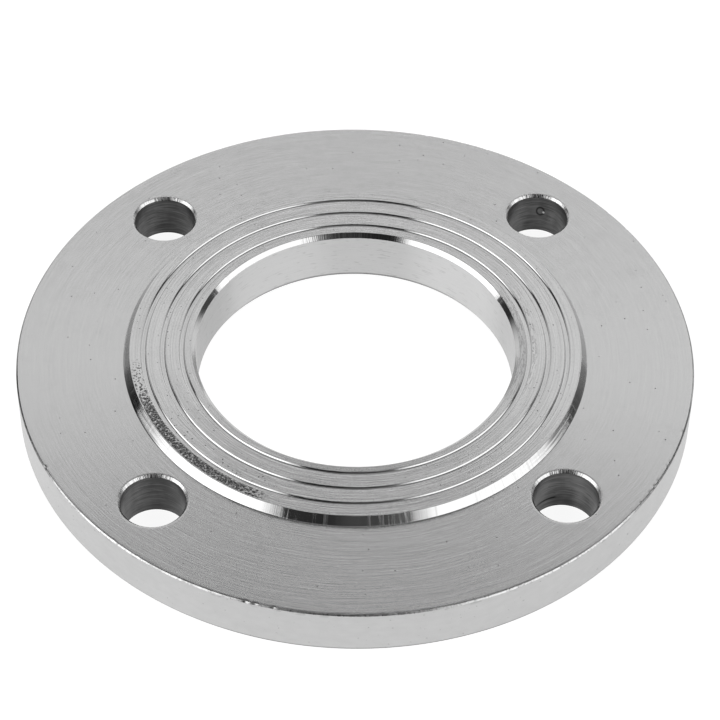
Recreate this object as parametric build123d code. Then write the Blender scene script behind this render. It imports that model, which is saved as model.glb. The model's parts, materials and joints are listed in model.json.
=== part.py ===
from build123d import *

import os

# A flat pipe flange, turned from one steel plate: a round disc with a raised
# sealing face, three ring grooves in that face, a plain bore and four bolt holes.
#
# Millimetres. The flange lies on its flat back face at z = 0, its axis is Z
# and its sealing face looks up. The bolt holes are at 45 degrees to X and Y.

# Driving dimensions
outer_diameter = 195.0
total_thickness = 16.8
bore_diameter = 92.0
bolt_circle_diameter = 160.0
bolt_hole_diameter = 18.0
bolt_hole_count = 4
first_bolt_hole_angle = 45.0

# Raised sealing face, with a bevel down to the disc
raised_face_height = 2.4
raised_face_foot_diameter = 133.4
raised_face_bevel_width = 1.7

# Ring grooves in the sealing face, counted inwards from the outer one. Each has
# a flat bottom and sloping sides, and its diameter is that of its middle.
groove_count = 3
outer_groove_diameter = 122.0
groove_pitch = 5.5
groove_width = 1.7
groove_depth = 0.45
groove_side_width = 0.45

# Edges, all broken at 45 degrees
bore_top_chamfer = 1.2
bore_bottom_chamfer = 0.7
bolt_hole_top_chamfer = 0.7
bolt_hole_bottom_chamfer = 0.3
rim_chamfer = 0.4

# How far the tool that cuts a bolt hole reaches past each face
tool_overrun = 2.0

# Worked out from the dimensions above
outer_radius = outer_diameter / 2
bore_radius = bore_diameter / 2
foot_radius = raised_face_foot_diameter / 2
bolt_circle_radius = bolt_circle_diameter / 2
bolt_hole_radius = bolt_hole_diameter / 2
disc_thickness = total_thickness - raised_face_height


def groove_radii():
    """The radius of the middle of each groove, the outer one first."""
    outer_groove_radius = outer_groove_diameter / 2
    return [outer_groove_radius - index * groove_pitch for index in range(groove_count)]


def half_section():
    """The outline of half the flange, as (radius, height) points.

    It runs outwards along the back face, up the rim, inwards over the disc
    and the raised face with its grooves, and down the bore.
    """
    back_face = [
        (bore_radius + bore_bottom_chamfer, 0),
        (outer_radius - rim_chamfer, 0),
    ]
    rim = [
        (outer_radius, rim_chamfer),
        (outer_radius, disc_thickness - rim_chamfer),
        (outer_radius - rim_chamfer, disc_thickness),
    ]
    bevel = [
        (foot_radius, disc_thickness),
        (foot_radius - raised_face_bevel_width, total_thickness),
    ]
    grooves = []
    groove_bottom_width = groove_width - 2 * groove_side_width
    for radius in groove_radii():
        grooves += [
            (radius + groove_width / 2, total_thickness),
            (radius + groove_bottom_width / 2, total_thickness - groove_depth),
            (radius - groove_bottom_width / 2, total_thickness - groove_depth),
            (radius - groove_width / 2, total_thickness),
        ]
    bore = [
        (bore_radius + bore_top_chamfer, total_thickness),
        (bore_radius, total_thickness - bore_top_chamfer),
        (bore_radius, bore_bottom_chamfer),
    ]
    return back_face + rim + bevel + grooves + bore


def turned_disc():
    """The half section turned once round the axis."""
    outline = Polyline(*[(radius, 0, height) for radius, height in half_section()], close=True)
    return revolve(make_face(outline), axis=Axis.Z, revolution_arc=360)


def bolt_hole_tool():
    """What a bolt hole takes away: a drilled hole with a chamfer at each end.

    Its chamfers are cones at 45 degrees that go on past the two faces.
    """
    outline = Polyline(
        (0, 0, -tool_overrun),
        (bolt_hole_radius + bolt_hole_bottom_chamfer + tool_overrun, 0, -tool_overrun),
        (bolt_hole_radius, 0, bolt_hole_bottom_chamfer),
        (bolt_hole_radius, 0, disc_thickness - bolt_hole_top_chamfer),
        (bolt_hole_radius + bolt_hole_top_chamfer + tool_overrun, 0, disc_thickness + tool_overrun),
        (0, 0, disc_thickness + tool_overrun),
        close=True,
    )
    return revolve(make_face(outline), axis=Axis.Z, revolution_arc=360)


def bolt_hole_places():
    """The centre of each bolt hole, evenly spaced on the bolt circle."""
    return PolarLocations(bolt_circle_radius, bolt_hole_count, start_angle=first_bolt_hole_angle)


def flange():
    """The whole flange, one solid."""
    body = turned_disc()
    for place in bolt_hole_places():
        body -= place * bolt_hole_tool()
    return body


os.makedirs("parts", exist_ok=True)
export_step(flange(), "parts/flange.step")
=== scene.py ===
# %% [markdown]
# # A turned steel pipe flange
#
# The real object is a flat ring of steel: a plate that was faced, bored and
# grooved on a lathe, then drilled for four bolts. Everything worth looking at
# is a trace of those tools. The faces carry fine rings, the bevels shine like
# mirrors, the drilled walls are dark, and one land is pitted by rust.
#
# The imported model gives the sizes. This script builds a finer mesh of the same
# form, gives each tool's surface its own material, and lights it as a small
# studio would.

import json
import math
import random

import bmesh
import bpy
from mathutils import Matrix, Vector


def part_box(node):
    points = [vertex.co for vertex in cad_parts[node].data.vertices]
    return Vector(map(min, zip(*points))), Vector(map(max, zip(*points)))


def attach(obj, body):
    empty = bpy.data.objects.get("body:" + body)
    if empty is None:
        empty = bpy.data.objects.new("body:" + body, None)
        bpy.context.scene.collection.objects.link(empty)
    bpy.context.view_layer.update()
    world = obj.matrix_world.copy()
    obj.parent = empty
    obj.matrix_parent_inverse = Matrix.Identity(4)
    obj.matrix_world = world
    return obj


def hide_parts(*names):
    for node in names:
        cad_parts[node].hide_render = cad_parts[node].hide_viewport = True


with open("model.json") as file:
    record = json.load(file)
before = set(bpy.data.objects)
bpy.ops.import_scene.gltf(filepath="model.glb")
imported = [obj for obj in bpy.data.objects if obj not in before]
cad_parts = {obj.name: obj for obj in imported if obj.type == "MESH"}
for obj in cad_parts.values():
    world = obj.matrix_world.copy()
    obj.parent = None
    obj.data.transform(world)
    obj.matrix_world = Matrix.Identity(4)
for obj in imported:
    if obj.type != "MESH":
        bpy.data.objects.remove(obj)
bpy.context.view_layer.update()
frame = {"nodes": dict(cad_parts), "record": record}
mounts = {mount["name"]: mount for mount in frame["record"]["mounts"]}
print("nodes:", sorted(frame["nodes"]), "mounts:", sorted(mounts))

# %% [markdown]
# ## Sizes
#
# A turned part is known by a few radii and heights. Those that the model
# states are read from it: the outer radius and the thickness from its box, the
# bore and the bolt holes from its mounts. The rest are named here. All are in
# millimetres, as on a workshop drawing, and become metres when a vertex is made.

# %% Sizes of the flange
mm = 0.001
low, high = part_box("flange")
outer_radius = round((high.x - low.x) / 2 / mm, 2)
thickness = round(high.z / mm, 2)
bore_radius = mounts["bore"]["dims"]["r_mm"]
bolt_circle_radius = mounts["bolts"]["dims"]["pcd_mm"] / 2
bolt_hole_radius = mounts["bolts"]["dims"]["hole_r_mm"]
bolt_count = mounts["bolts"]["dims"]["count"]
first_bolt_angle = 45.0

raised_height = 2.4
disc_top = thickness - raised_height
foot_radius = 66.7
sealing_face_radius = 65.0
groove_radii = (61.0, 55.5, 50.0)
groove_width, groove_floor_width, groove_depth = 1.75, 1.15, 0.42
bore_top_chamfer, bore_bottom_chamfer = 1.2, 0.7
hole_top_chamfer, hole_bottom_chamfer = 0.7, 0.3
rim_chamfer = 0.4
print(f"disc {outer_radius * 2} x {thickness} mm, bore {bore_radius * 2}, {bolt_count} holes")

# %% [markdown]
# ## One outline, spun round an axis
#
# A lathe makes a form by holding one outline against a spinning blank, and
# bmesh has the same idea. A few vertices joined by edges are the outline, a
# vertex bevel rounds its corners, and `spin` sweeps it once round the axis.
# Real corners are never quite sharp: a rounding of a tenth of a millimetre is
# what catches the thin bright line along each edge. A larger rounding, such as
# a hollow corner, gets more segments.
#
# The outline isn't closed. It stops a little way onto each flat face, and the
# flat faces are filled afterwards, because the bolt holes interrupt them.

# %% Helper: spin an outline into a form
sectors = 12
merge_distance = 0.001
small_rounding, small_segments, large_segments = 0.2, 3, 6


def spin_outline(corners, centre, steps):
    """A form made by spinning an outline once round the upright axis through centre.

    Each corner is (radius, height, rounding) in millimetres. One sector is
    spun step by step, and the others are turned copies of it.
    """
    form = bmesh.new()
    points = [
        form.verts.new(Vector((centre[0] + radius, centre[1], height)) * mm)
        for radius, height, _ in corners
    ]
    for start, end in zip(points, points[1:]):
        form.edges.new((start, end))
    for size in sorted({corner[2] for corner in corners if corner[2]}):
        chosen = [point for point, corner in zip(points, corners) if corner[2] == size]
        segments = small_segments if size < small_rounding else large_segments
        bmesh.ops.bevel(
            form, geom=chosen, offset=size * mm, segments=segments, affect="VERTICES",
            profile=0.5, material=-1,
        )
    round_axis = {"cent": Vector((*centre, 0)) * mm, "axis": (0, 0, 1)}
    one_sector = math.tau / sectors
    outline = form.verts[:] + form.edges[:]
    bmesh.ops.spin(form, geom=outline, angle=one_sector, steps=steps // sectors, **round_axis)
    bmesh.ops.spin(
        form, geom=form.verts[:] + form.edges[:] + form.faces[:], angle=math.tau - one_sector,
        steps=sectors - 1, use_duplicate=True, **round_axis,
    )
    bmesh.ops.remove_doubles(form, verts=form.verts, dist=merge_distance * mm)
    return form


# %% Helper: put a form in the flange
form = bmesh.new()


def put_in(piece):
    """Adds a form to the flange's own, and returns its number of faces."""
    carrier = bpy.data.meshes.new("carrier")
    piece.to_mesh(carrier)
    piece.free()
    form.from_mesh(carrier)
    made = len(carrier.polygons)
    bpy.data.meshes.remove(carrier)
    return made


# %% [markdown]
# ## The rim
#
# The outer wall is plain, with a small chamfer at each edge where the sharp
# corner was broken. It is the part's outline in any view, so it gets the most
# steps round the circle.

# %% Rim
edge_margin, edge_rounding = 1.2, 0.12
rim_steps = 1440
rim_corners = [
    (outer_radius - edge_margin, 0, 0),
    (outer_radius - rim_chamfer, 0, edge_rounding),
    (outer_radius, rim_chamfer, edge_rounding),
    (outer_radius, disc_top - rim_chamfer, edge_rounding),
    (outer_radius - rim_chamfer, disc_top, edge_rounding),
    (outer_radius - edge_margin, disc_top, 0),
]
rim = spin_outline(rim_corners, (0, 0), rim_steps)

# %% [markdown]
# ## Nicks in the rim's edge
#
# Heavy steel parts are rolled and stacked on their rims, so the top edge is
# never whole. Each nick is a small dent: every vertex near it moves inwards and
# down, most at its middle. The places are random, but the seed is fixed, so
# that each run gives the same flange. They are closest together at the front
# and the front right, as on the real one.

# %% Nick the rim's top edge
nick_reach = 0.7
nick_widths, nick_depths = (0.3, 0.8), (0.05, 0.18)
left_stretch, front_stretch = (200, 215), (250, 282)
front_right_stretch, anywhere = (315, 340), (0, 360)
stretches = [left_stretch] * 2 + [front_stretch] * 6 + [front_right_stretch] * 8 + [anywhere] * 10
random.seed(11)
nicks = [
    (math.radians(random.uniform(*span)), random.uniform(*nick_widths), random.uniform(*nick_depths))
    for span in stretches
]
moved = 0
for vert in rim.verts:
    radius, angle = math.hypot(vert.co.x, vert.co.y) / mm, math.atan2(vert.co.y, vert.co.x)
    near_edge = 1 - math.hypot(outer_radius - radius, disc_top - vert.co.z / mm) / nick_reach
    if near_edge <= 0:
        continue
    for place, width, depth in nicks:
        away = abs(math.remainder(angle - place, math.tau)) * outer_radius / width
        if away < 1:
            push = depth * near_edge * (1 - away * away)
            vert.co.x -= push * math.cos(angle) * mm
            vert.co.y -= push * math.sin(angle) * mm
            vert.co.z -= push * mm
            moved += 1
print(len(nicks), "nicks,", moved, "moves")
print("rim faces:", put_in(rim))

# %% [markdown]
# ## The raised face and the bore
#
# One outline runs from the foot of the bevel, over the sealing face with its
# three grooves, and down the bore. The grooves have a flat floor and sloping
# sides, because a gasket is pressed into them. At the bevel's foot the round
# nose of the tool left a hollow corner. It mirrors everything from the floor
# to the ceiling within a fraction of a millimetre, so it shows as a thin bright
# line with a thin dark one beside it.

# %% Raised face and bore
nose_rounding, groove_rounding, lip_rounding, bevel_rounding = 0.22, 0.23, 0.06, 0.08
face_steps = 540
raised_corners = [
    (foot_radius + edge_margin, disc_top, 0),
    (foot_radius, disc_top, nose_rounding),
    (sealing_face_radius, thickness, bevel_rounding),
]
for radius in groove_radii:
    raised_corners += [
        (radius + groove_width / 2, thickness, lip_rounding),
        (radius + groove_floor_width / 2, thickness - groove_depth, groove_rounding),
        (radius - groove_floor_width / 2, thickness - groove_depth, groove_rounding),
        (radius - groove_width / 2, thickness, lip_rounding),
    ]
raised_corners += [
    (bore_radius + bore_top_chamfer, thickness, bevel_rounding),
    (bore_radius, thickness - bore_top_chamfer, edge_rounding),
    (bore_radius, bore_bottom_chamfer, edge_rounding),
    (bore_radius + bore_bottom_chamfer, 0, edge_rounding),
    (bore_radius + bore_bottom_chamfer + edge_margin, 0, 0),
]
print("raised face and bore faces:", put_in(spin_outline(raised_corners, (0, 0), face_steps)))

# %% [markdown]
# ## The bolt holes
#
# Each hole is the same outline spun round its own axis: a chamfer, a straight
# wall and a smaller chamfer below. Drilling them as holes in a filled disc
# would need a boolean, which leaves ragged triangles at the chamfer. Spun
# walls have clean edges, and the flat faces can be filled up to them.

# %% Bolt holes
hole_margin, hole_rim_rounding = 0.6, 0.05
hole_steps = 144
bolt_places = []
for number in range(bolt_count):
    angle = math.radians(first_bolt_angle + number * 360 / bolt_count)
    bolt_places.append((bolt_circle_radius * math.cos(angle), bolt_circle_radius * math.sin(angle)))
hole_corners = [
    (bolt_hole_radius + hole_top_chamfer + hole_margin, disc_top, 0),
    (bolt_hole_radius + hole_top_chamfer, disc_top, hole_rim_rounding),
    (bolt_hole_radius, disc_top - hole_top_chamfer, edge_rounding),
    (bolt_hole_radius, hole_bottom_chamfer, bevel_rounding),
    (bolt_hole_radius + hole_bottom_chamfer, 0, bevel_rounding),
    (bolt_hole_radius + hole_bottom_chamfer + hole_margin, 0, 0),
]
for place in bolt_places:
    made = put_in(spin_outline(hole_corners, place, hole_steps))
    print("hole at", [round(value, 2) for value in place], "faces:", made)

# %% [markdown]
# ## The two flat faces
#
# Each flat face is now a set of open circles: the rim, the raised face or the
# bore, and four holes. `triangle_fill` takes those edges together and fills
# between them, holes and all. Then doubles are merged and the normals are
# turned outwards, since a spin may leave a wall inside out.

# %% Fill the disc face and the back face
height_tolerance = 0.01


def open_edges(height):
    """The open edges that lie at a height, in millimetres."""
    return [
        edge for edge in form.edges
        if edge.is_boundary and all(abs(vert.co.z / mm - height) < height_tolerance for vert in edge.verts)
    ]


for height in (0, disc_top):
    made = bmesh.ops.triangle_fill(form, use_beauty=True, edges=open_edges(height))
    filled = [element for element in made["geom"] if isinstance(element, bmesh.types.BMFace)]
    print("flat face at", height, "mm, faces:", len(filled))
bmesh.ops.remove_doubles(form, verts=form.verts, dist=merge_distance * mm)
bmesh.ops.recalc_face_normals(form, faces=form.faces)
left_open = sum(edge.is_boundary for edge in form.edges)
print("open edges:", left_open, "volume cm3:", round(form.calc_volume() * 1e6, 2))

# %% [markdown]
# ## Which tool cut which face
#
# The finish changes where the tool changed, so each face is given a slot by
# its place and its slope: turned faces lie flat, bevels slope, and walls stand
# upright. Sorting by form keeps the mesh in one piece, and it still works if a
# size above is changed.

# %% Sort the faces by finish
finishes = [
    "turned_face", "polished_bevel", "turned_rim", "bored_wall", "drilled_wall", "cut_chamfer",
    "worn_edge", "dull_edge",
]
flat_lean, slope_lean, lower_slope_lean = 0.97, 0.35, 0.3
hole_allowance = 0.05


def finish_of(face):
    """The name of a face's finish. Its lean is 1 where it lies flat and 0 where it is upright."""
    centre = face.calc_center_median() / mm
    radius = math.hypot(centre.x, centre.y)
    from_hole = min(math.hypot(centre.x - x, centre.y - y) for x, y in bolt_places)
    lean = abs(face.normal.z)
    if lean > flat_lean:
        return "turned_face"
    if lean > lower_slope_lean and centre.z < disc_top / 2:
        return "dull_edge"
    if from_hole < bolt_hole_radius + hole_top_chamfer + hole_allowance:
        return "drilled_wall" if lean < slope_lean else "cut_chamfer"
    if lean > slope_lean:
        return "worn_edge" if radius > foot_radius + edge_margin else "polished_bevel"
    return "turned_rim" if radius > foot_radius else "bored_wall"


for face in form.faces:
    face.material_index = finishes.index(finish_of(face))
    face.smooth = True
counts = {name: sum(face.material_index == i for face in form.faces) for i, name in enumerate(finishes)}
print(counts)

# %% Make the piece
flange_mesh = bpy.data.meshes.new("flange_turned")
form.to_mesh(flange_mesh)
form.free()
flange = bpy.data.objects.new("flange_turned", flange_mesh)
bpy.context.scene.collection.objects.link(flange)
flange.modifiers.new("weighted_normals", "WEIGHTED_NORMAL").keep_sharp = False
triangles = sum(len(polygon.vertices) - 2 for polygon in flange_mesh.polygons)
print("triangles:", triangles)
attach(flange, "root")
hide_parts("flange")

# %% [markdown]
# ## Shader maths as sums
#
# A turned surface is described by distance from the axis, so its materials
# are mostly arithmetic on coordinates. Wiring each sum by hand hides what it
# says. Here a small class wraps a socket, and Python's own operators add the
# Math nodes. One more method adds any other node.

# %% Helper: nodes written as sums
class Wire:
    """A number that a node gives, to be used in sums."""

    def __init__(self, board, socket):
        self.board, self.socket = board, socket

    def __add__(self, other):
        return self.board.maths("ADD", self, other)

    def __sub__(self, other):
        return self.board.maths("SUBTRACT", self, other)

    def __rsub__(self, other):
        return self.board.maths("SUBTRACT", other, self)

    def __mul__(self, other):
        return self.board.maths("MULTIPLY", self, other)

    def __truediv__(self, other):
        return self.board.maths("DIVIDE", self, other)

    __radd__, __rmul__ = __add__, __mul__


class Board:
    """The nodes of one material, or of the world."""

    def __init__(self, owner):
        owner.use_nodes = True
        self.tree = owner.node_tree
        self.tree.nodes.clear()

    def add(self, kind, settings=None, sockets=None, give=0):
        """Adds a node, first its settings and then its sockets, and returns one of its outputs."""
        node = self.tree.nodes.new(kind)
        for name, value in (settings or {}).items():
            setattr(node, name, value)
        for key, value in (sockets or {}).items():
            if isinstance(value, Wire):
                self.tree.links.new(value.socket, node.inputs[key])
            else:
                node.inputs[key].default_value = value
        return Wire(self, node.outputs[give]) if node.outputs else None

    def maths(self, operation, *values):
        return self.add("ShaderNodeMath", {"operation": operation}, dict(enumerate(values)))

    def step(self, value, start, end):
        """Rises smoothly from 0 at start to 1 at end. It falls where end is below start."""
        first, last, low_end, high_end = (start, end, 0.0, 1.0) if start < end else (end, start, 1.0, 0.0)
        sockets = {0: value, 1: first, 2: last, 3: low_end, 4: high_end}
        return self.add("ShaderNodeMapRange", {"interpolation_type": "SMOOTHSTEP"}, sockets)

    def vector(self, x, y, z):
        return self.add("ShaderNodeCombineXYZ", None, {0: x, 1: y, 2: z})

    def noise(self, vector, detail=2.0, roughness=0.5):
        sockets = {"Vector": vector, "Scale": 1.0, "Detail": detail, "Roughness": roughness}
        return self.add("ShaderNodeTexNoise", None, sockets)

    def mix(self, factor, first, second):
        """Blends two colours."""
        return self.add("ShaderNodeMix", {"data_type": "RGBA"}, {0: factor, 6: first, 7: second}, give=2)


# %% [markdown]
# ## Where a point is
#
# Every mark of the lathe runs round the axis. So each material first turns
# the Object coordinates into millimetres from the axis, a height, and the
# cosine and sine of the angle. The cosine and sine stand in for the angle in
# a noise, because the angle itself jumps by a full turn at one side.

# %% Helper: polar coordinates and ring noise
middle_of_faces = 80.0
hole_number_x, hole_number_y = 3.0, 7.0


def polar(board):
    """Radius and height in millimetres, and the cosine and sine of the angle."""
    here = board.add("ShaderNodeTexCoord", None, None, give=3)
    split = board.add("ShaderNodeSeparateXYZ", None, {0: here}).socket.node
    x, y, z = (Wire(board, split.outputs[i]) * (1 / mm) for i in range(3))
    radius = board.maths("SQRT", x * x + y * y)
    return radius, z, x / radius, y / radius


def ring_noise(board, across, cosine, sine, pitch, run, around=middle_of_faces, detail=2.0):
    """Noise drawn out along the circle: pitch across the marks, run along them at the radius around."""
    turn = around / run
    return board.noise(board.vector(across / pitch, cosine * turn, sine * turn), detail=detail)


def hole_polar(board):
    """A height, the cosine and sine round the nearest bolt hole, and a number of its own for each hole.

    The four holes are at 45 degrees, so the signs of x and y tell which one is nearest.
    """
    radius, height, cosine, sine = polar(board)
    reach = bolt_circle_radius * math.sqrt(0.5)
    east, north = radius * cosine, radius * sine
    side_x, side_y = board.maths("SIGN", east), board.maths("SIGN", north)
    from_x, from_y = east - side_x * reach, north - side_y * reach
    away = board.maths("SQRT", from_x * from_x + from_y * from_y)
    number = side_x * hole_number_x + side_y * hole_number_y
    return height, from_x / away, from_y / away, number


def spots(board, east, north, cell, size, share):
    """1 inside round marks at random places: a share of the cells has one. Sizes are in millimetres."""
    place = {"Vector": board.vector(east / cell, north / cell, 0.0), "Scale": 1.0}
    scatter = board.add("ShaderNodeTexVoronoi", {"voronoi_dimensions": "2D"}, place)
    cell_colour = Wire(board, scatter.socket.node.outputs["Color"])
    chance = board.add("ShaderNodeSeparateColor", None, {0: cell_colour})
    edge = size / cell * (0.5 + chance)
    inside = board.step(scatter / edge, 1.0, 0.5)
    return inside * board.step(chance, share, share - 0.01)


def band(board, value, start, end, soft):
    """1 where a value is between start and end, with soft sides."""
    return board.step(value, start - soft, start + soft) * board.step(value, end + soft, end - soft)


def toward(cosine, sine, degrees):
    """The cosine of the angle between a point and a direction, 1 straight towards it."""
    angle = math.radians(degrees)
    return cosine * math.cos(angle) + sine * math.sin(angle)


def near(board, cosine, sine, angles, start, end):
    """Rises to 1 towards each of some directions in degrees, start and end as toward gives them."""
    return sum(board.step(toward(cosine, sine, angle), start, end) for angle in angles)


def grey(level):
    return (level, level, level, 1.0)


black, white = grey(0.0), grey(1.0)
micrometre = 1e-6
feed_pitch = 0.30


def feed_rings(board, along):
    """The ring that the tool leaves at each turn of the work, from -1 to 1."""
    return board.maths("SINE", along * (math.tau / feed_pitch))


def metal(colour, roughness, bump_height):
    """Ends a material: a metal surface with a bump whose height is in micrometres."""
    board = bump_height.board
    sockets = {"Strength": 1.0, "Distance": micrometre, "Height": bump_height}
    normal = board.add("ShaderNodeBump", None, sockets)
    sockets = {"Metallic": 1.0, "Base Color": colour, "Roughness": roughness, "Normal": normal}
    surface = board.add("ShaderNodeBsdfPrincipled", None, sockets)
    board.add("ShaderNodeOutputMaterial", None, {0: surface})


def new_board(name):
    """A fresh material under a name, with its board."""
    material = bpy.data.materials.new(name)
    return material, Board(material)


# %% [markdown]
# ## Turned faces
#
# A facing cut leaves rings a few tenths of a millimetre apart. They are too
# fine to see one by one, but they spread the light across themselves, so the
# face is darker where it looks over the rings at the dim ceiling. The visible
# streaks are chance differences between the rings. They are strongest on the
# sealing face and at the left, and faintest at the back. Each groove has also
# pushed up a faint lip beside it.
#
# Directions are in degrees round the axis: 0 is the right and 90 the back.

# %% Relief of a turned face
groove_pitch = groove_radii[0] - groove_radii[1]
lip_distance = 1.15
rougher_side = 160


def turned_relief(board, radius, cosine, sine, raised):
    """The height of the tool's rings, in micrometres."""
    wander = board.noise(board.vector(radius / 30.0, cosine * 7.0, sine * 7.0), detail=1.0)
    ring = radius + wander * 0.9
    feed = feed_rings(board, ring)
    streak = ring_noise(board, ring, cosine, sine, pitch=0.50, run=18.0)
    fine = ring_noise(board, ring, cosine, sine, pitch=0.24, run=4.0)
    from_groove = board.maths("PINGPONG", radius - groove_radii[2], groove_pitch / 2)
    lip = board.step(board.maths("ABSOLUTE", from_groove - lip_distance), 0.25, 0.0)
    left = board.step(toward(cosine, sine, rougher_side), 0.5, 0.95)
    strength = 22.0 - 11.0 * board.step(sine, 0.0, 0.9) + 12.0 * raised + 22.0 * left
    return feed * 4.0 + streak * strength + fine * 4.0 + raised * lip * 4.0


# %% [markdown]
# ## Pits and scuffs
#
# A band of rust pits lies on the outermost land at the front left. It is
# nearly closed in its middle and breaks up into single pits at its ends, so
# one noise is cut at a height that falls towards the middle of the band. Other
# pits are scattered one by one. The two inner lands have been rubbed at the
# right, which left a tangle of fine scuffs: they are the thin lines along
# which another noise crosses its middle value.

# %% Marks on the faces
rust_middle, rust_thickest = 216, 221
pits_middle, scuffs_middle = 228, 2


def rust_band(board, radius, cosine, sine, east, north):
    """How rusted the outermost land is, from 0 to 1."""
    nearness = board.step(toward(cosine, sine, rust_thickest), 0.87, 0.97)
    grain = board.noise(board.vector(east / 0.75, north / 0.75, 0.0), detail=3.0, roughness=0.6)
    line = 0.57 - 0.15 * nearness
    land = band(board, radius, groove_radii[0] + 0.75, sealing_face_radius - 0.3, soft=0.15)
    present = board.step(toward(cosine, sine, rust_middle), 0.85, 0.89)
    return board.step(grain - line, -0.03, 0.04) * land * present


def scattered_pits(board, radius, cosine, sine, east, north, raised):
    """Single pits: a few anywhere, more on the sealing face, most on one land at the front left."""
    anywhere = spots(board, east, north, cell=7.0, size=0.36, share=0.3)
    on_lands = spots(board, east, north, cell=3.0, size=0.30, share=0.24) * raised
    side = board.step(toward(cosine, sine, pits_middle), 0.90, 0.95)
    corner = band(board, radius, 56.6, 60.0, soft=0.2) * side
    cluster = spots(board, north, east, cell=1.3, size=0.42, share=0.24) * corner
    return board.maths("MAXIMUM", board.maths("MAXIMUM", anywhere, on_lands), cluster)


def scuffs(board, radius, cosine, sine, north):
    """A tangle of fine lines on the two inner lands, at the right."""
    tangle = board.noise(board.vector(radius / 0.8, north / 6.0, 0.0), detail=3.0, roughness=0.6)
    line = board.step(board.maths("ABSOLUTE", tangle - 0.5), 0.045, 0.01)
    land = board.step(radius, 52.8, 51.8) * (1.0 - band(board, radius, 49.0, 51.0, soft=0.1))
    return line * land * board.step(toward(cosine, sine, scuffs_middle), 0.87, 0.93)


# %% [markdown]
# ## The faces' colour
#
# The bare metal is a grey that changes a little from ring to ring. The sealing
# face is paler, with a fine mottle, and faint smudges lie on the disc too. The
# marks are then mixed in, and each is also a dip in the bump.

# %% Material: turned faces
def turned_face():
    material, board = new_board("turned_face")
    radius, height, cosine, sine = polar(board)
    east, north = radius * cosine, radius * sine
    not_the_back = board.step(height, 14.0, 14.1)
    raised = board.step(radius, foot_radius, sealing_face_radius) * not_the_back
    relief = turned_relief(board, radius, cosine, sine, raised)
    rust = rust_band(board, radius, cosine, sine, east, north) * raised
    pit = scattered_pits(board, radius, cosine, sine, east, north, raised)
    scuff = scuffs(board, radius, cosine, sine, north) * raised
    tone = ring_noise(board, radius, cosine, sine, pitch=0.5, run=12.0, detail=3.0)
    turn = ring_noise(board, radius, cosine, sine, pitch=0.32, run=45.0)
    inner_land = board.step(radius, 49.3, 49.0) * raised
    bare = board.mix(tone, grey(0.53), grey(0.62))
    mottle = board.noise(board.vector(east / 0.5, north / 0.5, 0.0), detail=2.0)
    smudge = board.noise(board.vector(east / 5.0, north / 5.0, 0.0), detail=3.0, roughness=0.6)
    bare = board.mix(raised * 0.26, bare, grey(0.78))
    bare = board.mix(raised * board.step(mottle, 0.45, 0.75) * 0.10, bare, black)
    bare = board.mix(board.step(smudge, 0.50, 0.75) * 0.03, bare, black)
    bare = board.mix(raised * board.step(turn, 0.64, 0.36) * 0.12, bare, black)
    # The innermost land is darker at the right, where it is scuffed, and at the front, which is painted
    # shade.
    right, front = board.step(toward(cosine, sine, 357), 0.86, 1.0), board.step(sine, -0.88, -1.0)
    bare = board.mix(inner_land * (0.02 + 0.18 * right + 0.16 * front), bare, black)
    bare = board.mix(pit * 0.7 + scuff * 0.4, bare, grey(0.08))
    brown = board.mix(board.step(mottle, 0.42, 0.66), grey(0.07), grey(0.34))
    colour = board.mix(rust, bare, brown)
    rough = 0.19 + 0.05 * tone + 0.22 * rust + 0.15 * pit
    metal(colour, rough, relief - rust * 10.0 - pit * 10.0 - scuff * 3.0)
    return material


# %% [markdown]
# ## Bevels
#
# A bevel was cut with the side of the tool, so it is far smoother than a
# face and reflects the studio almost as a mirror. What marks it has run up and
# down its slope. Where it was rubbed it is rougher, not paler: the same rub is
# a light streak in a dark reflection and a grey one in a bright reflection.
#
# Some things are seen on the bevels that the reflections alone don't give, and they are painted into the
# colour. The raised face's bevel has painted shade at both sides, and dark rings of painted shade at each
# end of its bright part. The bore's bevel has painted shade at the front and is finely cut at the back. At
# its right and its left the bright part ends in a pale patch of painted highlight with a dark line of
# painted shade beside it.

# %% Material: polished bevels
def polished_bevel():
    material, board = new_board("polished_bevel")
    radius, height, cosine, sine = polar(board)
    strand = board.noise(board.vector(cosine * 160.0, sine * 160.0, radius / 12.0), detail=2.0)
    outer = board.step(radius, 64.0, 64.6)
    rub = board.noise(board.vector(cosine * 34.0, sine * 34.0, height / 30.0), detail=3.0, roughness=0.65)
    rubbed = board.step(rub, 0.52, 0.66) * outer
    turn = ring_noise(board, radius, cosine, sine, pitch=0.5, run=45.0, around=foot_radius)
    # Painted shade on the raised face's bevel at both sides, and in dark rings at each end of its bright
    # part.
    near_sides = band(board, sine, -0.35, -0.12, soft=0.04) * 0.45
    far_sides = band(board, sine, 0.20, 0.60, soft=0.12) * 0.30
    ends = near(board, cosine, sine, (205, 331), 0.986, 0.998)
    inner = board.step(radius, 48.0, 47.4)
    front, back = board.step(sine, -0.3, -0.6), board.step(sine, 0.93, 0.97)
    cuts = board.step(strand, 0.40, 0.56) * back * 0.5
    # A dark line of painted shade and a pale patch of painted highlight where the bore bevel's bright part
    # ends, at its right and left.
    dark_ends = near(board, cosine, sine, (23.6, 150.6), 0.99985, 0.99995)
    light_ends = near(board, cosine, sine, (27.6, 146.6), 0.9979, 0.9984)
    outer_shade = outer * (near_sides + far_sides + ends * board.step(turn, 0.44, 0.58) * 0.55)
    # Painted shade on the bore's bevel at the front and in the dark lines, with real cuts at the back.
    inner_shade = inner * (front * 0.45 + cuts + dark_ends * 0.6)
    bright = board.mix(strand, grey(0.57), grey(0.65))
    bright = board.mix(inner * light_ends, bright, grey(0.95))
    colour = board.mix(outer_shade + inner_shade, bright, black)
    rough = 0.07 + 0.05 * strand + 0.20 * rubbed
    ridges = strand * (5.0 + 6.0 * rubbed + 7.0 * inner * back)
    metal(colour, rough, ridges + turn * 30.0)
    return material
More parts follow.
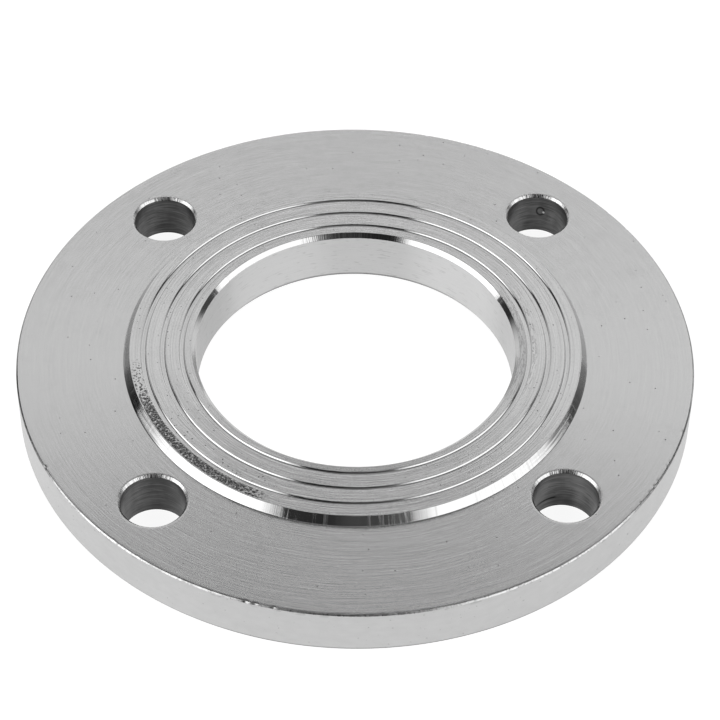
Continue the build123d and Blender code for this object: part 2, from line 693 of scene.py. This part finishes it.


# %% [markdown]
# ## Walls
#
# The rim and the bore carry level lines, because the tool went along the axis there. Marks on a wall are
# measured by height and by distance round the wall. The rim has painted light towards the left and painted
# shadow along its bottom edge, most at the front. Parts of the bore's wall are painted paler or darker than
# their reflections make them, as painted light and painted shade, and its bottom edge at the back has
# painted shadow.

# %% Material: turned rim
def turned_rim():
    material, board = new_board("turned_rim")
    _, height, cosine, sine = polar(board)
    line = ring_noise(board, height, cosine, sine, pitch=0.5, run=14.0, around=outer_radius)
    fine = ring_noise(board, height, cosine, sine, pitch=0.2, run=5.0, around=outer_radius)
    blotch = ring_noise(board, height, cosine, sine, pitch=2.0, run=3.5, around=outer_radius, detail=4.0)
    speckle = ring_noise(board, height, cosine, sine, pitch=0.9, run=1.1, around=outer_radius)
    mark = board.step(speckle, 0.70, 0.76)
    near_top = board.step(height, 12.6, 14.2) * board.step(blotch, 0.52, 0.64)
    # Painted light: the rim is a little lighter towards the left.
    left = board.step(toward(cosine, sine, 218), 0.80, 0.97) * 0.05
    colour = board.mix(left, board.mix(blotch, grey(0.51), grey(0.58)), white)
    # Painted shadow along the rim's bottom edge, strongest at the front.
    low = board.step(height, 0.85, 0.5) * (0.35 + 0.55 * board.step(toward(cosine, sine, 272), 0.85, 0.95))
    colour = board.mix(mark * 0.5 + near_top * 0.35 + low, colour, grey(0.10))
    feed = feed_rings(board, height)
    metal(colour, 0.42 + 0.1 * line, feed * 6.0 + line * 12.0 + fine * 8.0 - mark * 12.0)
    return material


# %% Material: bored wall
def bored_wall():
    material, board = new_board("bored_wall")
    _, height, cosine, sine = polar(board)
    line = ring_noise(board, height, cosine, sine, pitch=0.5, run=9.0, around=bore_radius)
    fine = ring_noise(board, height, cosine, sine, pitch=0.2, run=4.0, around=bore_radius)
    streak = ring_noise(board, height, cosine, sine, pitch=0.45, run=3.5, around=bore_radius)
    dash = board.step(streak, 0.60, 0.72)
    colour = board.mix(dash * 0.4, board.mix(line, grey(0.50), grey(0.59)), grey(0.22))
    # Painted light: the bore's wall is paler towards the right and the back.
    pale_right = board.step(toward(cosine, sine, 45), 0.88, 1.0) * 0.22
    pale_back = board.step(toward(cosine, sine, 119), 0.90, 1.0) * 0.12
    colour = board.mix(pale_right + pale_back, colour, white)
    # Painted shade: darker along the bottom edge at the back, and towards the left.
    low = board.step(height, 1.5, 1.0) * board.step(sine, 0.55, 0.97) * 0.55
    left = board.step(toward(cosine, sine, 163), 0.90, 1.0) * 0.17
    colour = board.mix(low + left, colour, black)
    feed = feed_rings(board, height)
    metal(colour, 0.40 + 0.1 * line, feed * 6.0 + line * 14.0 + fine * 7.0)
    return material


# %% [markdown]
# ## Bolt holes
#
# A twist drill leaves level rings in the wall and a torn skin, since it only rubs there. The wall's dark
# colour is painted shade for the dim inside of the hole. Its flutes chattered when the edge was broken,
# which left short cuts across the chamfer. Both are measured round each hole's own axis. The wall gets
# darker with depth and towards the back of each hole, which is painted shade. One wall has a round dent in
# it with a painted glint, and another a dark scratch.

# %% Marks in two of the drilled walls
def oval(board, cosine, height, place, half_width, half_height):
    """How far a point of a drilled wall is from the middle of an oval, 1 on its edge."""
    across = (cosine - place[0]) * (bolt_hole_radius / half_width)
    upward = (height - place[1]) / half_height
    return board.maths("SQRT", across * across + upward * upward)


def wall_marks(board, height, cosine, sine, number):
    """A dent's outline and painted glint in the hole at the back right, a scratch in the front right one.
    """
    back_right, front_right = (
        band(board, number, middle - 0.5, middle + 0.5, soft=0.1)
        for middle in (hole_number_x + hole_number_y, hole_number_x - hole_number_y)
    )
    facing = board.step(sine, 0.2, 0.4) * back_right
    dent = oval(board, cosine, height, (0.208, 8.2), half_width=1.4, half_height=1.9)
    outline = band(board, dent, 0.65, 0.95, soft=0.2) * facing
    # Where the painted glint lies.
    shine = oval(board, cosine, height, (0.316, 7.8), half_width=0.5, half_height=0.6)
    glint = board.step(shine, 1.0, 0.2) * facing
    on_left = board.step(cosine, -0.10, -0.25)
    scratch = band(board, height, 3.6, 4.3, soft=0.2) * on_left * front_right
    return outline, glint, scratch


# %% Material: drilled walls
def drilled_wall():
    material, board = new_board("drilled_wall")
    height, cosine, sine, number = hole_polar(board)
    line = board.noise(board.vector(cosine * 1.6 + number, sine * 1.6, height / 0.30), detail=2.0)
    shade = board.noise(board.vector(cosine * 1.5 + number, sine * 1.5, height / 14.0), detail=2.0)
    speck = board.noise(board.vector(cosine * 14.0 + number, sine * 14.0, height / 0.6), detail=2.0)
    drawn = 0.7 * line + 0.5 * shade - 0.1
    # The wall's colour is painted dark, as shade for the dim inside of the hole.
    colour = board.mix(board.step(drawn, 0.32, 0.72), grey(0.085), grey(0.215))
    colour = board.mix(board.step(speck, 0.66, 0.76) * 0.5, colour, grey(0.05))
    # Painted shade: darker with depth and towards the back of each hole.
    painted_depth_shade = board.step(height, 13.0, 0.5) * 0.42 + board.step(sine, 0.86, 1.0) * 0.20
    outline, glint, scratch = wall_marks(board, height, cosine, sine, number)
    colour = board.mix(painted_depth_shade, colour, black)
    colour = board.mix(outline * 0.9 + scratch, colour, black)
    # A painted highlight: the glint in the dent.
    colour = board.mix(glint, colour, grey(0.5))
    metal(colour, 0.36 + 0.1 * line, line * 12.0 + speck * 6.0 - outline * 40.0)
    return material


# %% Material: cut chamfers of the bolt holes
def cut_chamfer():
    material, board = new_board("cut_chamfer")
    height, cosine, sine, number = hole_polar(board)
    around = board.vector(cosine * 40.0 + number, sine * 40.0, height / 3.0)
    cut = board.noise(around, detail=2.0, roughness=0.6)
    back = board.step(sine, 0.80, 0.95)
    colour = board.mix(board.step(cut, 0.40, 0.58), grey(0.46), grey(0.70))
    colour = board.mix(board.step(cut, 0.52, 0.45) * back * 0.7, colour, black)
    metal(colour, 0.22 + 0.12 * cut, cut * (16.0 + 34.0 * back))
    return material


# %% [markdown]
# ## Worn edges, and painted shade on the lower edges
#
# The broken edge of the rim was knocked about, so it is rougher than a bevel and its bright line is uneven.
# The line is painted dark at the left and the right and round the back, as painted shade. The lower edges
# are painted dark with a fine grain, as painted shade.

# %% Materials: worn edge, and painted shade on the lower edges
def worn_edge():
    material, board = new_board("worn_edge")
    _, height, cosine, sine = polar(board)
    knock = board.noise(board.vector(cosine * 150.0, sine * 150.0, height / 0.6), detail=3.0, roughness=0.6)
    wear = board.noise(board.vector(cosine * 22.0, sine * 22.0, 0.0), detail=2.0)
    colour = board.mix(board.step(knock * 0.6 + wear * 0.4, 0.38, 0.56), grey(0.36), grey(0.62))
    sides = near(board, cosine, sine, (197, 333), 0.965, 0.985)
    # Painted shade on the edge at the left and right, and round the back.
    painted_edge_shade = sides * (0.35 + 0.4 * wear) + board.step(sine, -0.35, 0.0) * 0.55
    colour = board.mix(painted_edge_shade, colour, black)
    metal(colour, 0.22 + 0.15 * knock, knock * (18.0 - 12.0 * sides))
    return material


def dull_edge():
    material, board = new_board("dull_edge")
    _, height, cosine, sine = polar(board)
    grain = board.noise(board.vector(cosine * 90.0, sine * 90.0, height / 0.8), detail=3.0)
    # Painted shade: the downward edges are dark, with a fine grain.
    metal(board.mix(grain, grey(0.12), grey(0.26)), 0.45 + 0.1 * grain, grain * 20.0)
    return material


# %% Give the finishes to the piece
makers = {
    "turned_face": turned_face, "polished_bevel": polished_bevel, "turned_rim": turned_rim,
    "bored_wall": bored_wall, "drilled_wall": drilled_wall, "cut_chamfer": cut_chamfer,
    "worn_edge": worn_edge, "dull_edge": dull_edge,
}
for name in finishes:
    flange_mesh.materials.append(makers[name]())
print("materials:", [slot.name for slot in flange.material_slots])

# %% [markdown]
# ## The camera
#
# The camera's place was worked out from the outlines and the holes in the
# photograph, for the real sizes of the flange. A long lens from three quarters
# of a metre away gives the same gentle perspective.

# %% Camera
camera_place = Vector((-16.161, -527.503, 554.405)) * mm
camera_height_angle, camera_side_angle, camera_roll = 45.8668, -1.9002, 0.8227
camera_data = bpy.data.cameras.new("camera")
camera_data.lens, camera_data.sensor_width = 130.817, 36.0
camera_data.clip_start, camera_data.clip_end = 0.05, 100.0
camera = bpy.data.objects.new("camera", camera_data)
turn = (
    Matrix.Rotation(math.radians(camera_side_angle), 4, "Z")
    @ Matrix.Rotation(math.radians(90 - camera_height_angle), 4, "X")
    @ Matrix.Rotation(math.radians(camera_roll), 4, "Z")
)
camera.matrix_world = Matrix.Translation(camera_place) @ turn
bpy.context.scene.collection.objects.link(camera)
bpy.context.scene.camera = camera
print("camera distance mm:", round(camera.matrix_world.translation.length / mm, 1))

# %% [markdown]
# ## Floor
#
# The flange lies on a white table. The floor is bright to the camera and in
# reflections, and a part of its brightness is lit by the lamps, so that the
# flange still casts a soft shadow on it.

# %% Floor
floor_half_size, floor_gap = 2.6, 0.2 * mm
floor_form = bmesh.new()
bmesh.ops.create_grid(floor_form, x_segments=1, y_segments=1, size=floor_half_size)
bmesh.ops.translate(floor_form, verts=floor_form.verts, vec=(0, 0, -floor_gap))
floor_mesh = bpy.data.meshes.new("floor")
floor_form.to_mesh(floor_mesh)
floor_form.free()
floor = bpy.data.objects.new("floor", floor_mesh)
bpy.context.scene.collection.objects.link(floor)

material, board = new_board("floor")
light_path = board.add("ShaderNodeLightPath").socket.node
seen_by = ("Is Camera Ray", "Is Glossy Ray", "Is Transmission Ray")
seen = sum(Wire(board, light_path.outputs[name]) for name in seen_by)
glow = board.add("ShaderNodeEmission", None, {"Color": white, "Strength": seen * 0.90})
paint = board.add("ShaderNodeBsdfDiffuse", None, {"Color": grey(0.30)})
glowing_paint = board.add("ShaderNodeAddShader", None, {0: glow, 1: paint})
board.add("ShaderNodeOutputMaterial", None, {0: glowing_paint})
floor_mesh.materials.append(material)

# %% [markdown]
# ## Lamps
#
# Steel shows its surroundings more than its own colour, so the lights are
# laid out as the bevels show them: a tall soft panel on each side, a dark gap
# between them where the camera stands, and a pale wall behind. The panels are
# area lamps that stand upright, so their edges are plumb in the bevels. They
# fade towards their sides and at the floor.

# %% Two soft panels
front_angle = 270 + camera_side_angle
panel_distance = 3.0
side_fade, floor_fade = 0.2, 0.1
side_level, floor_level = 0.35, 0.4


def soft_panel(name, from_angle, to_angle, top_angle, radiance):
    """An upright lamp that fills the directions between two angles, seen from the flange.

    The angles go round from the camera's side, to its left below zero.
    """
    middle = math.radians(front_angle + (from_angle + to_angle) / 2)
    half_width = panel_distance * math.tan(math.radians(to_angle - from_angle) / 2)
    tall = panel_distance * math.tan(math.radians(top_angle))
    data = bpy.data.lights.new(name, "AREA")
    data.shape, data.size, data.size_y = "RECTANGLE", half_width * 2, tall
    data.energy = radiance * math.pi * data.size * data.size_y
    board = Board(data)
    cloth = board.add("ShaderNodeNewGeometry", give=5)
    split = board.add("ShaderNodeSeparateXYZ", None, {0: cloth}).socket.node
    across, upward = Wire(board, split.outputs[0]), Wire(board, split.outputs[1])
    sides = board.step(across, 0.0, side_fade) * board.step(1.0 - across, 0.0, side_fade)
    from_floor = floor_level + (1.0 - floor_level) * board.step(upward, 0.0, floor_fade)
    from_sides = side_level + (1.0 - side_level) * sides
    glow = board.add("ShaderNodeEmission", None, {"Strength": from_sides * from_floor})
    board.add("ShaderNodeOutputLight", None, {0: glow})
    lamp = bpy.data.objects.new(name, data)
    outward = Vector((math.cos(middle), math.sin(middle), 0))
    lamp.location = outward * panel_distance + Vector((0, 0, tall / 2))
    lamp.rotation_euler = outward.to_track_quat("Z", "Y").to_euler()
    bpy.context.scene.collection.objects.link(lamp)
    print(name, [round(value, 2) for value in lamp.location], round(data.energy, 1), "W")


soft_panel("left_panel", from_angle=-106.5, to_angle=-31.5, top_angle=56, radiance=2.1)
soft_panel("right_panel", from_angle=25, to_angle=104.5, top_angle=56, radiance=1.6)

# %% [markdown]
# ## The room
#
# The world stands for the rest of the room. In front it is dark, and a little
# less so to the right. Behind is a pale wall that reaches about 50 degrees up.
# It is brightest low in its middle, and paler at its top and sides than between
# them. Overhead is a dim ceiling. To the camera it is all plain white.

# %% World
wall_angle, side_angle = front_angle + 178, front_angle + 90
world = bpy.data.worlds.new("studio")
bpy.context.scene.world = world
board = Board(world)
direction = board.add("ShaderNodeTexCoord", None, None, give=0)
split = board.add("ShaderNodeSeparateXYZ", None, {0: direction}).socket.node
east, north, up = (Wire(board, split.outputs[i]) for i in range(3))
horizontal = board.maths("SQRT", 1.0 - up * up)
behind = toward(east, north, wall_angle) / horizontal
slant = board.step(up, 0.16, 0.40) * 0.25
wall = board.step(behind - slant, 0.36, 0.68) * board.step(up, 0.82, 0.73)
glow = 0.66 + 0.38 * board.step(up, 0.54, 0.70) + 0.5 * (1.0 - behind)
ceiling = board.step(up, 0.92, 0.98) * 0.25
aside = toward(east, north, side_angle) / horizontal
dim = 0.032 + 0.045 * board.step(aside, -0.2, 0.0) + 0.07 * band(board, aside, 0.32, 0.7, soft=0.1)
low = board.step(up, 0.42, 0.25) * board.step(behind, 0.80, 0.90)
shine = dim + wall * (glow + 0.6 * low) + ceiling
light_path = board.add("ShaderNodeLightPath").socket.node
camera_ray = Wire(board, light_path.outputs["Is Camera Ray"])
strength = board.maths("MAXIMUM", shine, camera_ray)
background = board.add("ShaderNodeBackground", None, {"Color": white, "Strength": strength})
board.add("ShaderNodeOutputWorld", None, {0: background})

# %% Finish
bpy.context.scene.view_settings.view_transform = "Standard"
bpy.context.view_layer.update()
